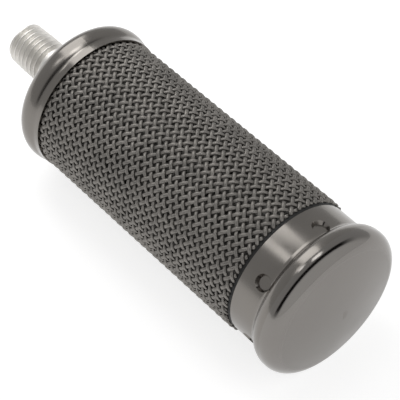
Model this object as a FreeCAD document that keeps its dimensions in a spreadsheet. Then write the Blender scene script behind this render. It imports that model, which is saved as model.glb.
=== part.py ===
import FreeCAD, Part
import math
import os

import Sketcher

# A pneumatic exhaust muffler. Compressed air comes in through a threaded nipple,
# spreads from a perforated core through two layers of felt, and leaves through a
# woven wire sleeve. A drawn cap closes the inlet end. A turned plug, a staked
# collar and a domed cover close the other.
#
# The axis of every piece is the X axis. X = 0 is the open face of the nipple and
# the dome is at the far end. All sizes are in millimetres.

doc = FreeCAD.newDocument("PneumaticMuffler")
sheet = doc.addObject("Spreadsheet::Sheet", "Sizes")

DRIVING_SIZES = [
    # inlet nipple
    ("nipple_reach", 25.8, "nipple face to the cap's outer face"),
    ("nipple_grip", 10.2, "nipple inside the cap, down the bush"),
    ("nipple_dia", 13.716, "outside of the 1/4 in pipe"),
    ("nipple_wall", 2.233, "wall of the pipe"),
    ("taper_length", 7.376, "tapered stretch from the nipple's face"),
    ("thread_taper", 0.0625, "taper on diameter, 1 in 16"),
    ("thread_length", 15.1, "threaded stretch"),
    ("thread_pitch", 1.954, "thirteen threads to the inch"),
    ("thread_depth", 1.05, "crest to root"),
    ("thread_root_flat", 0.30, "width of the groove's floor"),
    ("thread_half_angle", 30.0, "degrees from square, each flank"),
    ("nipple_chamfer", 0.60, "lead-in on the nipple's face"),
    # upper cap
    ("cap_step", 0.975, "cap's widest part out past the sleeve, on radius"),
    ("cap_wall", 0.80, "drawn sheet"),
    ("cap_shoulder", 4.90, "outside radius of the shoulder"),
    ("cap_skirt_angle", 24.0, "degrees, steepest slope of the skirt"),
    ("cap_skirt_hollow", 2.50, "hollow bend where the skirt meets the hem, outside"),
    ("cap_hem", 1.60, "straight hem that holds the sleeve"),
    # inlet bush
    ("bush_flange_step", 1.20, "flange out past the core tube, on radius"),
    ("bush_hub_length", 8.0, "hub below the flange"),
    # sleeves and layers, inside to outside
    ("core_dia", 19.6, "outside of the core tube"),
    ("core_wall", 0.80, "core tube sheet"),
    ("inner_felt_wall", 4.55, "felt between the core tube and the screen"),
    ("screen_wall", 0.50, "screen between the felts"),
    ("sleeve_gap", 0.225, "radial gap between the support tube and the sleeve"),
    ("support_wall", 0.80, "support tube sheet"),
    ("mesh_dia", 44.45, "outside of the woven sleeve"),
    ("mesh_wall", 1.80, "two crossed wires"),
    ("mesh_edge_round", 0.60, "outer corner of the sleeve's foot"),
    ("mesh_crimp", 0.65, "how far the cap's hem presses the sleeve in, on radius"),
    ("mesh_crimp_run", 1.00, "hem's edge to the sleeve's full size"),
    ("stack_length", 88.30, "upper gasket to the black ring"),
    # gaskets and ring
    ("upper_gasket_wall", 3.00, "squeezed upper gasket"),
    ("lower_gasket_wall", 1.60, "squeezed lower gasket"),
    ("ring_inset", 0.825, "ring's edge in from the sleeve, on radius"),
    ("ring_width", 0.95, "squeezed ring"),
    # end plug
    ("plug_spigot_length", 5.60, "spigot up the support tube"),
    ("plug_hub_length", 6.00, "hub up the core tube"),
    ("plug_floor", 3.00, "floor of the plug"),
    ("plug_skirt_wall", 2.60, "wall of the plug's hollow skirt"),
    ("plug_skirt_past", 3.15, "plug past the straight part of the collar"),
    ("stake_side_gap", 0.55, "dent's mouth to the side of the plug's groove"),
    ("stake_end_gap", 0.40, "dent's inner end to the floor of that groove"),
    # collar
    ("collar_inset", 0.875, "collar in from the sleeve, on radius"),
    ("collar_wall", 1.00, "collar sheet"),
    ("collar_straight", 8.25, "straight part of the collar"),
    ("flare_radius", 1.90, "hollow bend at the start of the flare, outside"),
    ("flare_angle", 45.0, "degrees, steepest slope of the flare"),
    ("flare_rise", 2.20, "how far the flare widens the collar, on radius"),
    ("dent_count", 6.0, "stakes round the collar"),
    ("dent_dia", 5.00, "mouth of one dent"),
    ("dent_depth", 1.10, "depth of one dent"),
    ("dent_draft", 32.0, "degrees from straight in, side of one dent"),
    ("stake_wall", 0.80, "sheet left below one dent"),
    ("dent_place", 6.70, "collar's edge to the middle of a dent"),
    ("dent_first_angle", -10.7, "degrees about X from straight up"),
    # dome
    ("dome_wall", 1.00, "dome sheet"),
    ("dome_rim_land", 0.50, "straight outer edge of the dome"),
    ("dome_shoulder", 4.60, "curve from the rim to the dome, outside"),
    ("dome_radius", 80.0, "curve of the dome, outside"),
    ("dome_lip_width", 3.00, "flat lip turned in behind the rim"),
    # perforations
    ("core_hole_dia", 3.20, "holes in the core tube"),
    ("core_hole_pitch", 6.20, "row to row"),
    ("core_hole_rows", 11.0, "rows along the core tube"),
    ("core_holes_round", 8.0, "holes in each row"),
    ("support_hole_dia", 6.00, "holes in the support tube"),
    ("support_hole_pitch", 8.20, "row to row"),
    ("support_hole_rows", 9.0, "rows along the support tube"),
    ("support_holes_round", 12.0, "holes in each row"),
    # clearances
    ("press_gap", 0.03, "radial gap of a pressed or screwed fit"),
    ("layer_gap", 0.10, "radial gap between layers"),
    ("seat_gap", 0.05, "gap of a soft ring beside metal"),
]

for row, (alias, value, meaning) in enumerate(DRIVING_SIZES, start=1):
    sheet.set(f"A{row}", alias)
    sheet.set(f"B{row}", str(value))
    sheet.set(f"C{row}", meaning)
    sheet.setAlias(f"B{row}", alias)
doc.recompute()


class Size:
    """A size known both as a number and as an expression on the sheet."""

    def __init__(self, value, text):
        self.value = value
        self.text = text

    def joined(self, sign, other, value):
        return Size(value, f"({self.text} {sign} {other.text})")

    def __add__(self, other):
        return self.joined("+", other, self.value + other.value)

    def __sub__(self, other):
        return self.joined("-", other, self.value - other.value)

    def __mul__(self, other):
        return self.joined("*", other, self.value * other.value)

    def __truediv__(self, other):
        return self.joined("/", other, self.value / other.value)


class SheetSizes:
    """Gives each alias of the sheet as a Size."""

    def __getattr__(self, alias):
        return Size(float(sheet.get(alias)), f"Sizes.{alias}")


size = SheetSizes()
ZERO = Size(0.0, "0")
ONE = Size(1.0, "1")
TWO = Size(2.0, "2")


def half(whole):
    return whole / TWO


def sine(angle):
    return Size(math.sin(math.radians(angle.value)), f"sin({angle.text} * 1deg)")


def cosine(angle):
    return Size(math.cos(math.radians(angle.value)), f"cos({angle.text} * 1deg)")


def tangent(angle):
    return Size(math.tan(math.radians(angle.value)), f"tan({angle.text} * 1deg)")


def leg(slant, other):
    """The third side of a right triangle, from its slant side and one other."""
    return Size(math.sqrt(slant.value ** 2 - other.value ** 2), f"sqrt({slant.text} ^ 2 - {other.text} ^ 2)")


def bind(obj, prop, wanted):
    obj.setExpression(prop, wanted.text)


def origin_feature(body, role):
    return [part for part in body.Origin.OriginFeatures if part.Role == role][0]


def new_body(name):
    body = doc.addObject("PartDesign::Body", name)
    body.Label = name
    body.Placement = FreeCAD.Placement()
    return body


def new_sketch(body, name, role):
    sketch = body.newObject("Sketcher::SketchObject", f"{body.Name}_{name}")
    sketch.AttachmentSupport = [(origin_feature(body, role), "")]
    sketch.MapMode = "FlatFace"
    return sketch


def named_constraint(sketch, name, wanted, *arguments):
    index = sketch.addConstraint(Sketcher.Constraint(*arguments, wanted.value))
    sketch.renameConstraint(index, name)
    sketch.setExpression(f"Constraints.{name}", wanted.text)


# Sketcher's own numbers for the parts of a line or arc and for the two axes.
START, END, CENTRE = 1, 2, 3
HORIZONTAL_AXIS, VERTICAL_AXIS = -1, -2
FACE_NORMAL = FreeCAD.Vector(0, 0, 1)
ALONG_X = FreeCAD.Vector(1, 0, 0)


def arc_edge(start, end, radius, turn):
    """An arc from start to end. turn is 1 when it runs anticlockwise, -1 when not."""
    chord = end - start
    rise = math.sqrt(radius * radius - chord.Length * chord.Length / 4)
    across = FreeCAD.Vector(-chord.y, chord.x, 0).normalize()
    centre = (start + end) * 0.5 + across * (rise * turn)
    first, last = (start, end) if turn > 0 else (end, start)
    angles = [math.atan2(p.y - centre.y, p.x - centre.x) for p in (first, last)]
    if angles[1] < angles[0]:
        angles[1] += 2 * math.pi
    return Part.ArcOfCircle(Part.Circle(centre, FACE_NORMAL, radius), angles[0], angles[1])


def draw_outline(sketch, corners):
    """A closed outline of (along, out) corners, each followed by a straight edge,
    or by an arc where the corner also gives a radius and a turn."""
    points = [FreeCAD.Vector(corner[0].value, corner[1].value, 0) for corner in corners]
    ends = []
    for index, corner in enumerate(corners):
        start, end = points[index], points[(index + 1) % len(points)]
        if len(corner) == 2:
            sketch.addGeometry(Part.LineSegment(start, end))
            ends.append((START, END))
        else:
            radius, turn = corner[2], corner[3]
            sketch.addGeometry(arc_edge(start, end, radius.value, turn))
            ends.append((START, END) if turn > 0 else (END, START))
    for index, corner in enumerate(corners):
        after = (index + 1) % len(corners)
        sketch.addConstraint(Sketcher.Constraint("Coincident", index, ends[index][1], after, ends[after][0]))
    for index, corner in enumerate(corners):
        start = ends[index][0]
        if corner[0] is ZERO:
            sketch.addConstraint(Sketcher.Constraint("PointOnObject", index, start, VERTICAL_AXIS))
        else:
            named_constraint(sketch, f"along_{index}", corner[0], "DistanceX", index, start)
        if corner[1] is ZERO:
            sketch.addConstraint(Sketcher.Constraint("PointOnObject", index, start, HORIZONTAL_AXIS))
        else:
            named_constraint(sketch, f"out_{index}", corner[1], "DistanceY", index, start)
        if len(corner) > 2:
            named_constraint(sketch, f"radius_{index}", corner[2], "Radius", index)


def turned_body(name, corners):
    """A body turned about the X axis from one outline."""
    body = new_body(name)
    sketch = new_sketch(body, "section", "XZ_Plane")
    draw_outline(sketch, corners)
    turning = body.newObject("PartDesign::Revolution", f"{name}_turning")
    turning.Profile = sketch
    turning.ReferenceAxis = (sketch, ["H_Axis"])
    turning.Angle = 360
    body.Tip = turning
    return body


def hole_sketch(body, name, along, diameter):
    """A circle on the X axis, on the body's XY plane."""
    sketch = new_sketch(body, name, "XY_Plane")
    centre = FreeCAD.Vector(along.value, 0, 0)
    sketch.addGeometry(Part.Circle(centre, FACE_NORMAL, diameter.value / 2))
    sketch.addConstraint(Sketcher.Constraint("PointOnObject", 0, CENTRE, HORIZONTAL_AXIS))
    named_constraint(sketch, "along", along, "DistanceX", 0, CENTRE)
    named_constraint(sketch, "diameter", diameter, "Diameter", 0)
    return sketch


def upright_cone(body, kind, name, along, foot, foot_radius, head_radius, height):
    """An additive or subtractive cone that stands square to the X axis."""
    cone = body.newObject(f"PartDesign::{kind}", name)
    cone.AttachmentSupport = [(origin_feature(body, "XY_Plane"), "")]
    cone.MapMode = "FlatFace"
    bind(cone, ".AttachmentOffset.Base.x", along)
    bind(cone, ".AttachmentOffset.Base.z", foot)
    bind(cone, "Radius1", foot_radius)
    bind(cone, "Radius2", head_radius)
    bind(cone, "Height", height)
    cone.Angle = 360
    body.Tip = cone
    doc.recompute()
    return cone


def repeat_round(body, name, feature, count):
    """Repeats a feature evenly round the X axis."""
    pattern = body.newObject("PartDesign::PolarPattern", name)
    pattern.Originals = [feature]
    pattern.Axis = (origin_feature(body, "X_Axis"), [""])
    pattern.Angle = 360
    bind(pattern, "Occurrences", count)
    body.Tip = pattern
    return pattern


def perforate(body, first_row, hole_dia, row_pitch, rows, holes_round):
    """Punches rows of round holes through a tube's wall."""
    sketch = hole_sketch(body, "hole", first_row, hole_dia)
    hole = body.newObject("PartDesign::Pocket", f"{body.Name}_punch")
    hole.Profile = sketch
    hole.Type = "ThroughAll"
    body.Tip = hole
    doc.recompute()
    grid = body.newObject("PartDesign::MultiTransform", f"{body.Name}_holes")
    along = body.newObject("PartDesign::LinearPattern", f"{body.Name}_rows")
    along.Direction = (origin_feature(body, "X_Axis"), [""])
    bind(along, "Length", row_pitch * (rows - ONE))
    bind(along, "Occurrences", rows)
    around = body.newObject("PartDesign::PolarPattern", f"{body.Name}_round")
    around.Axis = (origin_feature(body, "X_Axis"), [""])
    around.Angle = 360
    bind(around, "Occurrences", holes_round)
    grid.Originals = [hole]
    grid.Transformations = [along, around]
    body.Tip = grid


# Places along the axis that several pieces share.
cap_floor = size.nipple_reach + size.cap_wall
stack_top = cap_floor + size.upper_gasket_wall
stack_foot = stack_top + size.stack_length
collar_edge = stack_foot + size.ring_width
spigot_top = stack_foot - size.plug_spigot_length
felt_foot = spigot_top - size.lower_gasket_wall
cap_shoulder_foot = size.nipple_reach + size.cap_shoulder
flare_bends = size.flare_rise / (ONE - cosine(size.flare_angle))
flare_edge = collar_edge + size.collar_straight + flare_bends * sine(size.flare_angle)

# Radii that several pieces share, from the nipple outwards and then at the two ends.
pipe_outer = half(size.nipple_dia)
pipe_inner = pipe_outer - size.nipple_wall
core_outer = half(size.core_dia)
core_inner = core_outer - size.core_wall
bush_flange = core_outer + size.bush_flange_step
screen_inner = core_outer + size.layer_gap + size.inner_felt_wall + size.layer_gap
screen_outer = screen_inner + size.screen_wall
mesh_outer = half(size.mesh_dia)
mesh_inner = mesh_outer - size.mesh_wall
support_outer = mesh_inner - size.sleeve_gap
support_inner = support_outer - size.support_wall
plug_spigot = support_inner - size.press_gap
cap_widest = mesh_outer + size.cap_step
collar_outer = mesh_outer - size.collar_inset
collar_inner = collar_outer - size.collar_wall
rim = collar_outer + size.flare_rise

# The skirt of the cap comes in to the hem in two equal bends, one round, one hollow.
hem_inner = mesh_outer - size.mesh_crimp + size.seat_gap
hem_outer = hem_inner + size.cap_wall
skirt_bends = (cap_widest - hem_outer) / (ONE - cosine(size.cap_skirt_angle))
hem_start = cap_shoulder_foot + skirt_bends * sine(size.cap_skirt_angle)
cap_lip = hem_start + size.cap_hem

# The dents' floors, and the metal left below them.
dent_middle = collar_edge + size.dent_place
dent_floor = collar_outer - size.dent_depth
stake_foot = dent_floor - size.stake_wall


def make_inlet_nipple():
    """A length of steel pipe with a taper thread cut on its outer end."""
    end = size.nipple_reach + size.nipple_grip
    crest = pipe_outer - half(size.thread_taper * size.taper_length)
    body = turned_body("inlet_nipple", [
        (ZERO, pipe_inner),
        (ZERO, crest - size.nipple_chamfer),
        (size.nipple_chamfer, crest),
        (size.taper_length, pipe_outer),
        (end, pipe_outer),
        (end, pipe_inner),
    ])
    groove = new_sketch(body, "groove", "XZ_Plane")
    floor = crest - size.thread_depth
    mouth = floor + size.thread_depth * TWO
    spread = size.thread_depth * TWO * tangent(size.thread_half_angle)
    middle = ZERO - size.thread_pitch
    flat = half(size.thread_root_flat)
    draw_outline(groove, [
        (middle - flat, floor),
        (middle + flat, floor),
        (middle + flat + spread, mouth),
        (middle - flat - spread, mouth),
    ])
    doc.recompute()
    thread = body.newObject("PartDesign::SubtractiveHelix", "inlet_nipple_thread")
    thread.Profile = groove
    thread.ReferenceAxis = (groove, ["H_Axis"])
    thread.Mode = 0
    bind(thread, "Pitch", size.thread_pitch)
    bind(thread, "Height", size.thread_length + size.thread_pitch)
    body.Tip = thread
    return body


def make_inlet_bush():
    """A turned steel bush, welded under the cap's crown. The nipple screws into it."""
    bore = pipe_outer + size.press_gap
    hub = core_inner - size.layer_gap
    hub_foot = stack_top + size.bush_hub_length
    return turned_body("inlet_bush", [
        (cap_floor, bore),
        (cap_floor, bush_flange),
        (stack_top, bush_flange),
        (stack_top, hub),
        (hub_foot, hub),
        (hub_foot, bore),
    ])


def make_upper_cap():
    """A drawn steel cup with a hole for the nipple. Its hem is closed on the sleeve."""
    crown = size.nipple_reach
    wall = size.cap_wall
    shoulder_middle = cap_widest - size.cap_shoulder
    hole = pipe_outer + size.press_gap
    hollow_radius = size.cap_skirt_hollow
    round_radius = skirt_bends - hollow_radius
    along = sine(size.cap_skirt_angle)
    out = cosine(size.cap_skirt_angle)
    return turned_body("upper_cap", [
        (crown, hole),
        (crown, shoulder_middle, size.cap_shoulder, -1),
        (cap_shoulder_foot, cap_widest, round_radius, -1),
        (cap_shoulder_foot + round_radius * along, cap_widest - round_radius * (ONE - out),
         hollow_radius, 1),
        (hem_start, hem_outer),
        (cap_lip, hem_outer),
        (cap_lip, hem_inner),
        (hem_start, hem_inner, hollow_radius + wall, -1),
        (cap_shoulder_foot + (round_radius - wall) * along,
         cap_widest - round_radius + (round_radius - wall) * out, round_radius - wall, 1),
        (cap_shoulder_foot, cap_widest - wall, size.cap_shoulder - wall, 1),
        (cap_floor, shoulder_middle),
        (cap_floor, hole),
    ])


def make_upper_gasket():
    """A soft ring that fills the cap's shoulder and seals the tops of the sleeves."""
    shoulder_middle = cap_widest - size.cap_shoulder
    fill = size.cap_shoulder - size.cap_wall - size.seat_gap
    top = cap_floor + size.layer_gap
    top_reach = leg(fill, cap_shoulder_foot - top)
    foot_reach = leg(fill, cap_shoulder_foot - stack_top)
    inner = bush_flange + size.layer_gap
    return turned_body("upper_gasket", [
        (top, inner),
        (top, shoulder_middle + top_reach, fill, -1),
        (stack_top, shoulder_middle + foot_reach),
        (stack_top, inner),
    ])


def make_layer(name, inner, outer, top, foot):
    """A plain sleeve: a felt layer, a screen or a washer."""
    return turned_body(name, [
        (top, inner),
        (top, outer),
        (foot, outer),
        (foot, inner),
    ])


def make_core_tube():
    """A perforated steel tube, from the bush's hub to the plug's hub."""
    body = make_layer("core_tube", core_inner, core_outer, stack_top, spigot_top)
    holes_run = size.core_hole_pitch * (size.core_hole_rows - ONE)
    first_row = stack_top + half(spigot_top - stack_top - holes_run)
    perforate(body, first_row, size.core_hole_dia, size.core_hole_pitch,
              size.core_hole_rows, size.core_holes_round)
    return body


def make_support_tube():
    """A perforated steel tube that carries the sleeve and ties cap and plug together."""
    body = make_layer("support_tube", support_inner, support_outer, stack_top, stack_foot)
    holes_run = size.support_hole_pitch * (size.support_hole_rows - ONE)
    first_row = stack_top + half(stack_foot - stack_top - holes_run)
    perforate(body, first_row, size.support_hole_dia, size.support_hole_pitch,
              size.support_hole_rows, size.support_holes_round)
    return body


def make_mesh_sleeve():
    """The envelope of the woven wire cloth, rolled into a sleeve and pressed in under
    the cap's hem."""
    waist = mesh_outer - size.mesh_crimp
    edge = size.mesh_edge_round
    return turned_body("mesh_sleeve", [
        (stack_top, mesh_inner),
        (stack_top, waist),
        (cap_lip, waist),
        (cap_lip + size.mesh_crimp_run, mesh_outer),
        (stack_foot - edge, mesh_outer, edge, -1),
        (stack_foot, mesh_outer - edge),
        (stack_foot, mesh_inner),
    ])


def make_end_plug():
    """A turned plug. Its spigot fits the support tube and its hub fits the core tube."""
    hub = core_inner - size.press_gap
    skirt = collar_inner - size.layer_gap
    hub_top = spigot_top - size.plug_hub_length
    foot = collar_edge + size.collar_straight + size.plug_skirt_past
    groove_half = half(size.dent_dia) + size.stake_side_gap
    groove_floor = stake_foot - size.stake_end_gap
    hollow = skirt - size.plug_skirt_wall
    return turned_body("end_plug", [
        (hub_top, ZERO),
        (hub_top, hub),
        (spigot_top, hub),
        (spigot_top, plug_spigot),
        (collar_edge, plug_spigot),
        (collar_edge, skirt),
        (dent_middle - groove_half, skirt),
        (dent_middle - groove_half, groove_floor),
        (dent_middle + groove_half, groove_floor),
        (dent_middle + groove_half, skirt),
        (foot, skirt),
        (foot, hollow),
        (spigot_top + size.plug_floor, hollow),
        (spigot_top + size.plug_floor, ZERO),
    ])


def make_end_collar():
    """A steel collar, straight beside the ring and flared at the dome. Dents punched
    in its wall lock it in the plug's groove."""
    wall = size.collar_wall
    bend = collar_edge + size.collar_straight
    hollow_radius = size.flare_radius
    round_radius = flare_bends - hollow_radius
    along = sine(size.flare_angle)
    out = cosine(size.flare_angle)
    body = turned_body("end_collar", [
        (collar_edge, collar_inner),
        (collar_edge, collar_outer),
        (bend, collar_outer, hollow_radius, 1),
        (bend + hollow_radius * along, collar_outer + hollow_radius * (ONE - out), round_radius, -1),
        (flare_edge, rim),
        (flare_edge, rim - wall, round_radius - wall, 1),
        (bend + (hollow_radius + wall) * along,
         collar_outer + hollow_radius - (hollow_radius + wall) * out, hollow_radius + wall, -1),
        (bend, collar_inner),
    ])
    body.Placement = FreeCAD.Placement(FreeCAD.Vector(), ALONG_X, size.dent_first_angle.value)
    bind(body, "Placement.Rotation.Angle", size.dent_first_angle)
    slope = tangent(size.dent_draft)
    floor_radius = half(size.dent_dia) - size.dent_depth * slope
    stake_height = collar_outer - half(wall) - stake_foot
    stake_radius = floor_radius + half(size.stake_wall)
    stake = upright_cone(body, "AdditiveCone", "end_collar_stake", dent_middle, stake_foot,
                         stake_radius, stake_radius + stake_height * slope, stake_height)
    repeat_round(body, "end_collar_stakes", stake, size.dent_count)
    doc.recompute()
    dent_height = size.dent_depth * TWO
    dent = upright_cone(body, "SubtractiveCone", "end_collar_dent", dent_middle, dent_floor,
                        floor_radius, floor_radius + dent_height * slope, dent_height)
    repeat_round(body, "end_collar_dents", dent, size.dent_count)
    return body


def make_end_dome():
    """A pressed dome with its edge turned in to a flat lip against the flare."""
    wall = size.dome_wall
    shoulder = size.dome_shoulder
    shoulder_start = flare_edge + size.dome_rim_land
    shoulder_middle = rim - shoulder
    slant = size.dome_radius - shoulder
    rise = leg(slant, shoulder_middle)
    dome_top = shoulder_start + size.dome_radius - rise
    along = rise / slant
    out = shoulder_middle / slant
    inner_shoulder = shoulder - wall
    return turned_body("end_dome", [
        (flare_edge, rim - size.dome_lip_width),
        (flare_edge, rim),
        (shoulder_start, rim, shoulder, -1),
        (shoulder_start + shoulder * along, shoulder_middle + shoulder * out, size.dome_radius, -1),
        (dome_top, ZERO),
        (dome_top - wall, ZERO, size.dome_radius - wall, 1),
        (shoulder_start + inner_shoulder * along, shoulder_middle + inner_shoulder * out, inner_shoulder, 1),
        (flare_edge + wall, shoulder_middle + leg(inner_shoulder, wall - size.dome_rim_land)),
        (flare_edge + wall, rim - size.dome_lip_width),
    ])


make_inlet_nipple()
make_inlet_bush()
make_upper_cap()
make_upper_gasket()
make_core_tube()
make_layer("inner_felt", core_outer + size.layer_gap, screen_inner - size.layer_gap,
           stack_top, felt_foot)
make_layer("felt_screen", screen_inner, screen_outer, stack_top, felt_foot)
make_layer("outer_felt", screen_outer + size.layer_gap, support_inner - size.layer_gap,
           stack_top, felt_foot)
make_support_tube()
make_mesh_sleeve()
make_layer("lower_gasket", core_outer + size.layer_gap, support_inner - size.layer_gap,
           felt_foot, spigot_top)
make_layer("seal_ring", plug_spigot + size.seat_gap, mesh_outer - size.ring_inset,
           stack_foot, collar_edge)
make_end_plug()
make_end_collar()
make_end_dome()

doc.recompute()

bodies = [obj for obj in doc.Objects if obj.TypeId == "PartDesign::Body"]
for obj in doc.Objects:
    if "Invalid" in obj.State or "Error" in obj.State:
        raise RuntimeError(f"{obj.Name} failed: {obj.State}")
for body in bodies:
    if body.Shape.isNull() or not body.Shape.isValid():
        raise RuntimeError(f"{body.Label} has no valid shape")

os.makedirs("parts", exist_ok=True)
for body in bodies:
    body.Shape.exportStep(f"parts/{body.Label}.step")
    print(body.Label, round(body.Shape.Volume, 1), len(body.Shape.Solids))
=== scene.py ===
import math

import bpy
import numpy as np
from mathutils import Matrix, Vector


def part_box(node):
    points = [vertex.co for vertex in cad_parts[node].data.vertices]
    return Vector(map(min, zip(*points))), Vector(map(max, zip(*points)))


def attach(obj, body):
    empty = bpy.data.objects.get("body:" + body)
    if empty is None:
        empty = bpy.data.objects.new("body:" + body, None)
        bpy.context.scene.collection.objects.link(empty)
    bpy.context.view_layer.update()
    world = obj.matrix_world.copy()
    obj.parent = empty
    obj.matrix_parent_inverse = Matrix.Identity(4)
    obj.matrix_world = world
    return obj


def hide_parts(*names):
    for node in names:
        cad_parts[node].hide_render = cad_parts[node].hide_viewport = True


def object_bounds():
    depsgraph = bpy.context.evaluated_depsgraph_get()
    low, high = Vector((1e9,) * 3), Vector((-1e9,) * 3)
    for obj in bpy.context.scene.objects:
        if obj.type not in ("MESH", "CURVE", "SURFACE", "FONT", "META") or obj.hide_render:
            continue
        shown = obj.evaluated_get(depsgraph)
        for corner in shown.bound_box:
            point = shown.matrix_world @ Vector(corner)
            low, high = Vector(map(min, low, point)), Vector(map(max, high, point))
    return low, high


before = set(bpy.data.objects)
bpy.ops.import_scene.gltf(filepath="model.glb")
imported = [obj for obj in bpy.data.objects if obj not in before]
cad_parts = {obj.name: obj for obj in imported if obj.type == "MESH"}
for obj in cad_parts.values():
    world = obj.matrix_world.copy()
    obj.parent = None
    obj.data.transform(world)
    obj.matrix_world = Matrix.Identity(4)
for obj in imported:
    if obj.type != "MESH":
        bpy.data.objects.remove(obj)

cad_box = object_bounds()
millimetre = 0.001

# Inlet nipple
# A short length of 1/4 in steel pipe with a taper thread cut on its outer end. It is
# zinc plated, and screws down through the cap into the bush below.


def linear(hex_colour):
    """An sRGB colour such as "8a8580" as the linear RGBA that a shader takes."""
    channels = [int(hex_colour[i:i + 2], 16) / 255 for i in (0, 2, 4)]
    return [c / 12.92 if c <= 0.04045 else ((c + 0.055) / 1.055) ** 2.4 for c in channels] + [1.0]


def add(tree, kind, inputs=(), **settings):
    """Adds a node, with its settings, and with a constant or a link for each input."""
    node = tree.nodes.new(kind)
    for name, value in settings.items():
        setattr(node, name, value)
    for name, value in dict(inputs).items():
        if isinstance(value, bpy.types.NodeSocket):
            tree.links.new(value, node.inputs[name])
        else:
            node.inputs[name].default_value = value
    return node


def new_material(name):
    """An empty material and its node tree."""
    material = bpy.data.materials.new(name)
    material.use_nodes = True
    material.node_tree.nodes.clear()
    return material, material.node_tree


def finish_material(tree, shader):
    """Joins the shader to the material's output."""
    add(tree, "ShaderNodeOutputMaterial", {"Surface": shader.outputs["BSDF"]})


def paint(material, *names):
    """Gives CAD nodes their material."""
    for name in names:
        for material_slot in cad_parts[name].material_slots:
            material_slot.material = material


def round_coordinates(tree):
    """(along the X axis, out from it, nothing), so that a pattern runs round the piece."""
    place = add(tree, "ShaderNodeTexCoord")
    split = add(tree, "ShaderNodeSeparateXYZ", {"Vector": place.outputs["Object"]})
    flat = add(tree, "ShaderNodeCombineXYZ", {"Y": split.outputs["Y"], "Z": split.outputs["Z"]})
    radius = add(tree, "ShaderNodeVectorMath", {0: flat.outputs["Vector"]}, operation="LENGTH")
    return add(tree, "ShaderNodeCombineXYZ", {
        "X": split.outputs["X"], "Y": radius.outputs["Value"]})


# Zinc plated steel, cut with a threading die: bright, with fine tool lines round it
# and a slight mottle in the plating.
zinc_plate, tree = new_material("zinc_plated_threaded_pipe")
rings = round_coordinates(tree)
place = add(tree, "ShaderNodeTexCoord")
tool_line_spacing = 0.35 * millimetre
tool_lines = add(tree, "ShaderNodeTexNoise", {
    "Vector": rings.outputs["Vector"], "Scale": 1 / tool_line_spacing, "Detail": 3.0})
plating_mottle = add(tree, "ShaderNodeTexNoise", {
    "Vector": place.outputs["Object"], "Scale": 1 / (1.6 * millimetre), "Detail": 4.0})
zinc_colour = add(tree, "ShaderNodeMix", {
    "Factor": plating_mottle.outputs["Fac"], 6: linear("dbd8d3"), 7: linear("f0eeea")},
    data_type="RGBA")
zinc_roughness = add(tree, "ShaderNodeMapRange", {
    "Value": tool_lines.outputs["Fac"], "To Min": 0.38, "To Max": 0.55})
zinc_bump = add(tree, "ShaderNodeBump", {
    "Height": tool_lines.outputs["Fac"], "Strength": 0.08, "Distance": 0.02 * millimetre})
finish_material(tree, add(tree, "ShaderNodeBsdfPrincipled", {
    "Base Color": zinc_colour.outputs[2], "Metallic": 1.0,
    "Roughness": zinc_roughness.outputs["Result"], "Normal": zinc_bump.outputs["Normal"]}))
paint(zinc_plate, "inlet_nipple")

# Inlet bush and end plug
# Turned from steel bar. The bush is welded under the cap's crown and holds the nipple.
# The plug closes the far end and carries the groove that the collar is staked into.

# Plain turned steel: mid grey, with the tool's lines running round it.
turned_steel, tree = new_material("turned_steel")
rings = round_coordinates(tree)
turning_feed = 0.4 * millimetre
feed_lines = add(tree, "ShaderNodeTexNoise", {
    "Vector": rings.outputs["Vector"], "Scale": 1 / turning_feed, "Detail": 2.0})
turned_colour = add(tree, "ShaderNodeMix", {
    "Factor": feed_lines.outputs["Fac"], 6: linear("7e7c7a"), 7: linear("a3a19e")},
    data_type="RGBA")
turned_bump = add(tree, "ShaderNodeBump", {
    "Height": feed_lines.outputs["Fac"], "Strength": 0.4, "Distance": 0.05 * millimetre})
finish_material(tree, add(tree, "ShaderNodeBsdfPrincipled", {
    "Base Color": turned_colour.outputs[2], "Metallic": 1.0, "Roughness": 0.38,
    "Normal": turned_bump.outputs["Normal"]}))
paint(turned_steel, "inlet_bush", "end_plug")

# Core tube, support tube and felt screen
# Perforated steel sheet rolled into tubes. The core spreads the air, the screen keeps
# the two felts apart, and the support tube carries the woven sleeve.

# Mill-finish steel sheet, dulled by oil: dark grey, blotched, and not very shiny. It
# is what shows between the wires of the sleeve.
mill_sheet, tree = new_material("oiled_mill_finish_sheet")
place = add(tree, "ShaderNodeTexCoord")
oil_blotch = add(tree, "ShaderNodeTexNoise", {
    "Vector": place.outputs["Object"], "Scale": 1 / (6 * millimetre), "Detail": 5.0})
sheet_colour = add(tree, "ShaderNodeMix", {
    "Factor": oil_blotch.outputs["Fac"], 6: linear("5e5c59"), 7: linear("7a7774")},
    data_type="RGBA")
finish_material(tree, add(tree, "ShaderNodeBsdfPrincipled", {
    "Base Color": sheet_colour.outputs[2], "Metallic": 0.8, "Roughness": 0.55}))
paint(mill_sheet, "core_tube", "support_tube", "felt_screen")

# Inner and outer felt
# Two layers of grey wool felt that take the noise out of the air.

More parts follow.
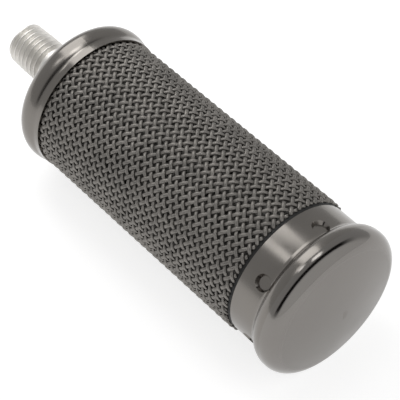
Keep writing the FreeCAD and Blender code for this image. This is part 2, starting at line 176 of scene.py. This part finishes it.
# Pressed wool felt: matt grey fibres with no weave, and a soft bloom at the edges.
wool_felt, tree = new_material("grey_wool_felt")
place = add(tree, "ShaderNodeTexCoord")
fibre_size = 0.3 * millimetre
fibres = add(tree, "ShaderNodeTexNoise", {
    "Vector": place.outputs["Object"], "Scale": 1 / fibre_size, "Detail": 6.0,
    "Roughness": 0.7, "Distortion": 1.5})
felt_colour = add(tree, "ShaderNodeMix", {
    "Factor": fibres.outputs["Fac"], 6: linear("55534f"), 7: linear("8b8883")},
    data_type="RGBA")
felt_bump = add(tree, "ShaderNodeBump", {
    "Height": fibres.outputs["Fac"], "Strength": 0.8, "Distance": 0.2 * millimetre})
finish_material(tree, add(tree, "ShaderNodeBsdfPrincipled", {
    "Base Color": felt_colour.outputs[2], "Roughness": 0.95, "Sheen Weight": 0.3,
    "Normal": felt_bump.outputs["Normal"]}))
paint(wool_felt, "inner_felt", "outer_felt")

# Woven sleeve
# Plain-woven steel wire cloth, 12 wires to the inch, cut on the bias and rolled into a
# sleeve over the support tube, which flattens the crossings. Its upper end is pressed
# in under the cap's lip.
sleeve_low, sleeve_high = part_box("mesh_sleeve")
lip_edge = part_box("upper_cap")[1].x
support_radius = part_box("support_tube")[1].z
sleeve_radius = sleeve_high.z
wires_each_way = 44
wire_angle = math.radians(49)
wire_half_width = 0.56 * millimetre
wire_half_height = 0.32 * millimetre
wire_sides = 8
points_per_crossing = 4
lip_press = 0.65 * millimetre
lip_press_run = 1.0 * millimetre
wire_end_inset = 0.15 * millimetre
cloth_clearance = 0.02 * millimetre
cloth_radius = sleeve_radius - 2 * wire_half_height - cloth_clearance
turn_per_length = math.tan(wire_angle) / cloth_radius
crossing_run = math.pi / (wires_each_way * turn_per_length)
cloth_top = sleeve_low.x + wire_end_inset
cloth_foot = sleeve_high.x - wire_end_inset
steps = int((cloth_foot - cloth_top) / crossing_run * points_per_crossing)
along = np.linspace(cloth_top, cloth_foot, steps)
pressed = np.clip((lip_edge + lip_press_run - along) / lip_press_run, 0, 1)
pressed_radius = (sleeve_radius - lip_press + support_radius) / 2
pressed_amplitude = (sleeve_radius - lip_press - support_radius) / 2 - wire_half_height
middle_radius = cloth_radius + (pressed_radius - cloth_radius) * pressed
amplitude = wire_half_height + (pressed_amplitude - wire_half_height) * pressed
over_under = np.cos(math.pi * (along - cloth_top) / crossing_run)
# The loom and the rolling leave each wire a little out of its place.
unevenness = np.random.default_rng(12)
wander_length = 9 * millimetre
wander_angle = math.radians(0.35)
wander_start_span = 6.3
wire_points, wire_faces = [], []
round_section = np.linspace(0, 2 * math.pi, wire_sides, endpoint=False)
for lean in (1, -1):
    for wire in range(wires_each_way):
        wander_start = unevenness.uniform(0, wander_start_span)
        wander = np.sin(along / wander_length + wander_start) * wander_angle
        turned = (2 * math.pi * wire / wires_each_way
                  + lean * turn_per_length * (along - cloth_top) + wander)
        radius = middle_radius + lean * amplitude * over_under
        outward = np.stack([np.zeros(steps), np.sin(turned), np.cos(turned)], axis=1)
        centre = outward * radius[:, None]
        centre[:, 0] = along
        tangent = np.gradient(centre, axis=0)
        tangent /= np.linalg.norm(tangent, axis=1)[:, None]
        sideways = np.cross(tangent, outward)
        sideways /= np.linalg.norm(sideways, axis=1)[:, None]
        upward = np.cross(sideways, tangent)
        section = (wire_half_height * np.cos(round_section)[None, :, None] * upward[:, None, :]
                   + wire_half_width * np.sin(round_section)[None, :, None] * sideways[:, None, :])
        first = len(wire_points) * steps * wire_sides
        wire_points.append((centre[:, None, :] + section).reshape(-1, 3))
        row, side = np.meshgrid(np.arange(steps - 1), np.arange(wire_sides), indexing="ij")
        after = (side + 1) % wire_sides
        corners = [row * wire_sides + side, row * wire_sides + after,
                   (row + 1) * wire_sides + after, (row + 1) * wire_sides + side]
        wire_faces += (np.stack(corners, axis=-1).reshape(-1, 4) + first).tolist()
        wire_faces.append([first + s for s in reversed(range(wire_sides))])
        wire_faces.append([first + (steps - 1) * wire_sides + s for s in range(wire_sides)])
cloth_mesh = bpy.data.meshes.new("woven_sleeve")
cloth_mesh.from_pydata(np.concatenate(wire_points).tolist(), [], wire_faces)
cloth_mesh.shade_smooth()
woven_sleeve = bpy.data.objects.new("woven_sleeve", cloth_mesh)
bpy.context.scene.collection.objects.link(woven_sleeve)

# Drawn steel wire with a dull plating: dark grey, brighter in scattered rubbed patches.
drawn_wire, tree = new_material("dull_plated_steel_wire")
place = add(tree, "ShaderNodeTexCoord")
handling_marks = add(tree, "ShaderNodeTexNoise", {
    "Vector": place.outputs["Object"], "Scale": 1 / (7 * millimetre), "Detail": 4.0})
draw_marks = add(tree, "ShaderNodeTexNoise", {
    "Vector": place.outputs["Object"], "Scale": 1 / (0.4 * millimetre), "Detail": 3.0})
worn = add(tree, "ShaderNodeMath", {
    0: handling_marks.outputs["Fac"], 1: draw_marks.outputs["Fac"]}, operation="MULTIPLY")
worn_range = add(tree, "ShaderNodeMapRange", {
    "Value": worn.outputs["Value"], "From Min": 0.12, "From Max": 0.42})
wire_colour = add(tree, "ShaderNodeMix", {
    "Factor": worn_range.outputs["Result"], 6: linear("7e7b77"), 7: linear("98948f")},
    data_type="RGBA")
wire_roughness = add(tree, "ShaderNodeMapRange", {
    "Value": draw_marks.outputs["Fac"], "To Min": 0.48, "To Max": 0.62})
finish_material(tree, add(tree, "ShaderNodeBsdfPrincipled", {
    "Base Color": wire_colour.outputs[2], "Metallic": 1.0,
    "Roughness": wire_roughness.outputs["Result"]}))
cloth_mesh.materials.append(drawn_wire)
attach(woven_sleeve, "root")
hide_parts("mesh_sleeve")
paint(drawn_wire, "mesh_sleeve")

# Seal ring and the two gaskets
# Black nitrile rubber. The ring is squeezed between the sleeve's foot and the collar,
# and only its outer edge shows. The gaskets seal the ends of the felt layers.

# Moulded nitrile rubber: near black and matt, with a fine moulding grain.
nitrile, tree = new_material("moulded_nitrile_rubber")
place = add(tree, "ShaderNodeTexCoord")
moulding_grain = add(tree, "ShaderNodeTexNoise", {
    "Vector": place.outputs["Object"], "Scale": 1 / (0.25 * millimetre), "Detail": 3.0})
rubber_colour = add(tree, "ShaderNodeMix", {
    "Factor": moulding_grain.outputs["Fac"], 6: linear("070707"), 7: linear("131312")},
    data_type="RGBA")
rubber_bump = add(tree, "ShaderNodeBump", {
    "Height": moulding_grain.outputs["Fac"], "Strength": 0.3, "Distance": 0.03 * millimetre})
finish_material(tree, add(tree, "ShaderNodeBsdfPrincipled", {
    "Base Color": rubber_colour.outputs[2], "Roughness": 0.6,
    "Normal": rubber_bump.outputs["Normal"]}))
paint(nitrile, "seal_ring", "upper_gasket", "lower_gasket")

# Upper cap and end collar
# Steel sheet, deep drawn and nickel plated. The cap's lip is closed on the sleeve. The
# collar is locked to the plug by dents punched in its wall, and flares to the dome.

# Nickel plate over drawn steel: a warm grey mirror, slightly softened, with faint draw
# lines round it and a few handling marks.
nickel_plate, tree = new_material("nickel_plated_drawn_steel")
rings = round_coordinates(tree)
place = add(tree, "ShaderNodeTexCoord")
# Real draw lines are far finer, and are drawn 0.6 mm apart so that they show.
draw_lines = add(tree, "ShaderNodeTexNoise", {
    "Vector": rings.outputs["Vector"], "Scale": 1 / (0.6 * millimetre), "Detail": 3.0})
finger_marks = add(tree, "ShaderNodeTexNoise", {
    "Vector": place.outputs["Object"], "Scale": 1 / (9 * millimetre), "Detail": 5.0})
nickel_colour = add(tree, "ShaderNodeMix", {
    "Factor": finger_marks.outputs["Fac"], 6: linear("7a7672"), 7: linear("86827d")},
    data_type="RGBA")
nickel_roughness = add(tree, "ShaderNodeMapRange", {
    "Value": finger_marks.outputs["Fac"], "From Min": 0.3, "From Max": 0.7,
    "To Min": 0.16, "To Max": 0.24})
nickel_bump = add(tree, "ShaderNodeBump", {
    "Height": draw_lines.outputs["Fac"], "Strength": 0.06, "Distance": 0.02 * millimetre})
finish_material(tree, add(tree, "ShaderNodeBsdfPrincipled", {
    "Base Color": nickel_colour.outputs[2], "Metallic": 1.0,
    "Roughness": nickel_roughness.outputs["Result"], "Normal": nickel_bump.outputs["Normal"]}))
paint(nickel_plate, "upper_cap", "end_collar")

# End dome
# A shallow dome pressed from the same steel, with its edge turned in against the
# collar's flare. It is the end that is handled, and its face is satin.

# Nickel plate over a blasted pressing: soft grey, with a very fine even grain.
satin_nickel, tree = new_material("satin_nickel_plated_pressing")
rings = round_coordinates(tree)
radius = add(tree, "ShaderNodeSeparateXYZ", {"Vector": rings.outputs["Vector"]})
place = add(tree, "ShaderNodeTexCoord")
# The blasted grain is about 0.1 mm, and is drawn at 0.35 mm so that it shows.
blasted_grain = add(tree, "ShaderNodeTexNoise", {
    "Vector": place.outputs["Object"], "Scale": 1 / (0.35 * millimetre), "Detail": 3.0})
polish_patches = add(tree, "ShaderNodeTexNoise", {
    "Vector": place.outputs["Object"], "Scale": 1 / (14 * millimetre), "Detail": 3.0})
satin_colour = add(tree, "ShaderNodeMix", {
    "Factor": polish_patches.outputs["Fac"], 6: linear("7f7b78"), 7: linear("898682")},
    data_type="RGBA")
satin_roughness = add(tree, "ShaderNodeMapRange", {
    "Value": polish_patches.outputs["Fac"], "From Min": 0.3, "From Max": 0.7,
    "To Min": 0.30, "To Max": 0.38})
# Handling has rubbed the rim back to a shine.
rim_polish = add(tree, "ShaderNodeMapRange", {
    "Value": radius.outputs["Y"], "From Min": 19.5 * millimetre, "From Max": 21.5 * millimetre})
rubbed_roughness = add(tree, "ShaderNodeMix", {
    "Factor": rim_polish.outputs["Result"], 2: satin_roughness.outputs["Result"], 3: 0.13})
satin_bump = add(tree, "ShaderNodeBump", {
    "Height": blasted_grain.outputs["Fac"], "Strength": 0.08, "Distance": 0.02 * millimetre})
finish_material(tree, add(tree, "ShaderNodeBsdfPrincipled", {
    "Base Color": satin_colour.outputs[2], "Metallic": 1.0,
    "Roughness": rubbed_roughness.outputs[0], "Normal": satin_bump.outputs["Normal"]}))
paint(satin_nickel, "end_dome")

# Floor
# A plain white table top, which the muffler lies on by its rim and its cap.
floor_height = cad_box[0].z
floor_reach = 3.0
floor_mesh = bpy.data.meshes.new("floor")
floor_corners = [(floor_reach * x, floor_reach * y, floor_height)
                 for x, y in ((-1, -1), (1, -1), (1, 1), (-1, 1))]
floor_mesh.from_pydata(floor_corners, [], [(0, 1, 2, 3)])
floor = bpy.data.objects.new("floor", floor_mesh)
bpy.context.scene.collection.objects.link(floor)
# Matt white laminate: no shine and an even tone. It is lifted to full white for the eye
# and for the metal that reflects it, and still takes the muffler's shadow.
lift_strength = 0.74
white_laminate, tree = new_material("matt_white_laminate")
rays = add(tree, "ShaderNodeLightPath")
seen = add(tree, "ShaderNodeMath", {
    0: rays.outputs["Is Camera Ray"], 1: rays.outputs["Is Glossy Ray"]}, operation="MAXIMUM")
lift = add(tree, "ShaderNodeMath", {
    0: seen.outputs["Value"], 1: lift_strength}, operation="MULTIPLY")
finish_material(tree, add(tree, "ShaderNodeBsdfPrincipled", {
    "Base Color": linear("bcbcbc"), "Roughness": 0.9, "Specular IOR Level": 0.0,
    "Emission Color": linear("ffffff"), "Emission Strength": lift.outputs["Value"]}))
floor_mesh.materials.append(white_laminate)

# Studio light
# Three soft boxes, one each for the collar, the rim and the cap, in a grey room that is
# brighter in front of the dome than behind it.
ring_low, ring_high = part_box("seal_ring")
ring_middle = (ring_low + ring_high) / 2
cap_low, cap_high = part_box("upper_cap")
cap_middle = (cap_low + cap_high) / 2
soft_boxes = [
    # name, lit from, direction, distance, width, height, watts
    ("collar_soft_box", ring_middle, (-0.45, -0.31, 0.84), 0.60, 0.10, 0.14, 0.09),
    ("rim_soft_box", ring_middle, (-0.22, 0.08, 0.95), 0.60, 0.16, 0.13, 0.16),
    ("cap_soft_box", cap_middle, (-0.46, 0.12, 0.83), 0.16, 0.09, 0.20, 0.11),
]
for name, lit, direction, distance, width, height, watts in soft_boxes:
    lamp = bpy.data.lights.new(name, "AREA")
    lamp.shape = "RECTANGLE"
    lamp.size = width
    lamp.size_y = height
    lamp.energy = watts
    soft_box = bpy.data.objects.new(name, lamp)
    bpy.context.scene.collection.objects.link(soft_box)
    outward = Vector(direction).normalized()
    soft_box.location = lit + outward * distance
    soft_box.visible_camera = False
    soft_box.rotation_euler = outward.to_track_quat("Z", "Y").to_euler()

room = bpy.data.worlds.new("grey_studio_room")
room.use_nodes = True
tree = room.node_tree
tree.nodes.clear()
place = add(tree, "ShaderNodeTexCoord")
split = add(tree, "ShaderNodeSeparateXYZ", {"Vector": place.outputs["Generated"]})
height_in_room = add(tree, "ShaderNodeMapRange", {
    "Value": split.outputs["Z"], "From Min": 0.0, "From Max": 1.0})
back_of_room = add(tree, "ShaderNodeMix", {
    "Factor": height_in_room.outputs["Result"], 6: linear("c4c4c4"), 7: linear("b2b2b2")},
    data_type="RGBA")
towards_front = add(tree, "ShaderNodeMapRange", {
    "Value": split.outputs["X"], "From Min": 0.15, "From Max": 0.45})
room_shade = add(tree, "ShaderNodeMix", {
    "Factor": towards_front.outputs["Result"], 6: back_of_room.outputs[2], 7: linear("efefef")},
    data_type="RGBA")
# A long black card hung across the dome's end gives its rim the dark line that
# shapes it.
card_place, card_half_width, card_soft_edge = 0.14, 0.12, 0.07
card_far_end, card_end_fade = 0.90, 0.65
beside_card = add(tree, "ShaderNodeMath", {
    0: split.outputs["X"], 1: card_place}, operation="SUBTRACT")
off_card = add(tree, "ShaderNodeMath", {0: beside_card.outputs["Value"]}, operation="ABSOLUTE")
card_width = add(tree, "ShaderNodeMapRange", {
    "Value": off_card.outputs["Value"], "From Min": card_half_width + card_soft_edge,
    "From Max": card_half_width})
card_length = add(tree, "ShaderNodeMapRange", {
    "Value": split.outputs["Y"], "From Min": card_far_end, "From Max": card_end_fade})
card_top = add(tree, "ShaderNodeMapRange", {
    "Value": split.outputs["Z"], "From Min": 0.0, "From Max": 0.2})
card_side = add(tree, "ShaderNodeMath", {
    0: card_width.outputs["Result"], 1: card_length.outputs["Result"]}, operation="MULTIPLY")
card = add(tree, "ShaderNodeMath", {
    0: card_side.outputs["Value"], 1: card_top.outputs["Result"]}, operation="MULTIPLY")
carded_shade = add(tree, "ShaderNodeMix", {
    "Factor": card.outputs["Value"], 6: room_shade.outputs[2], 7: linear("0c0c0c")},
    data_type="RGBA")
room_light = add(tree, "ShaderNodeBackground", {"Color": carded_shade.outputs[2], "Strength": 1.0})
add(tree, "ShaderNodeOutputWorld", {"Surface": room_light.outputs["Background"]})
bpy.context.scene.world = room
bpy.context.scene.view_settings.view_transform = "Standard"

# Camera
# It looks down along the muffler from beyond the dome, with the dome nearest.
camera_azimuth = math.radians(49)
camera_elevation = math.radians(48.9)
ring_distance = 434.26 * millimetre
ring_right = 23.78 * millimetre
ring_below = 18.56 * millimetre
camera_data = bpy.data.cameras.new("camera")
camera_data.sensor_width = 36
camera_data.lens = 143.8
camera = bpy.data.objects.new("camera", camera_data)
camera.rotation_euler = (math.pi / 2 - camera_elevation, 0, camera_azimuth)
turn = camera.rotation_euler.to_matrix()
camera.location = ring_middle + turn @ Vector((-ring_right, ring_below, ring_distance))
bpy.context.scene.collection.objects.link(camera)
bpy.context.scene.camera = camera
